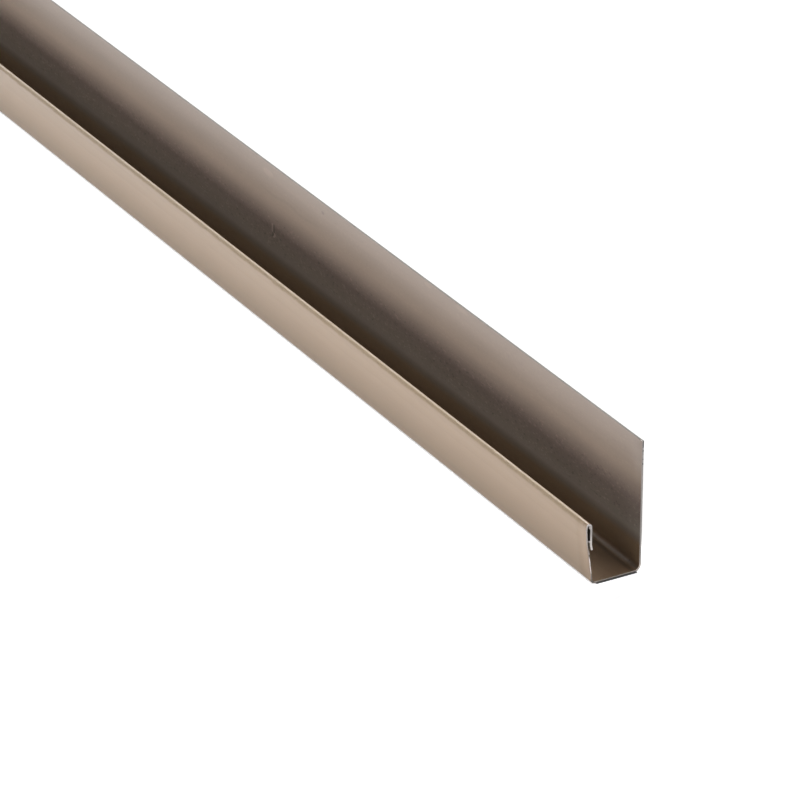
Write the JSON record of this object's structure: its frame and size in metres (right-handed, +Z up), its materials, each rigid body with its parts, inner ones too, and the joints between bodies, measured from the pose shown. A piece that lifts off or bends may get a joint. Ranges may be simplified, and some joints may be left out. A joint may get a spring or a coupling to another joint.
{
  "type": "j-channel trim",
  "caption": "Long painted sheet-metal trim bent to a J: a tall back leg, a web and a short leaning face leg that ends in an open hem folded into the channel.",
  "frame": {"origin": "middle of the web's underside, at half the stock's length", "axes": "+X along the stock, +Y from the face leg to the back leg, +Z up from the web to the top of the back leg"},
  "size_m": [3.048, 0.0258, 0.0571],
  "materials": {
    "painted_sheet": "satin"
  },
  "bodies": {
    "root": {"j_channel": "painted_sheet"}
  },
  "joints": []
}
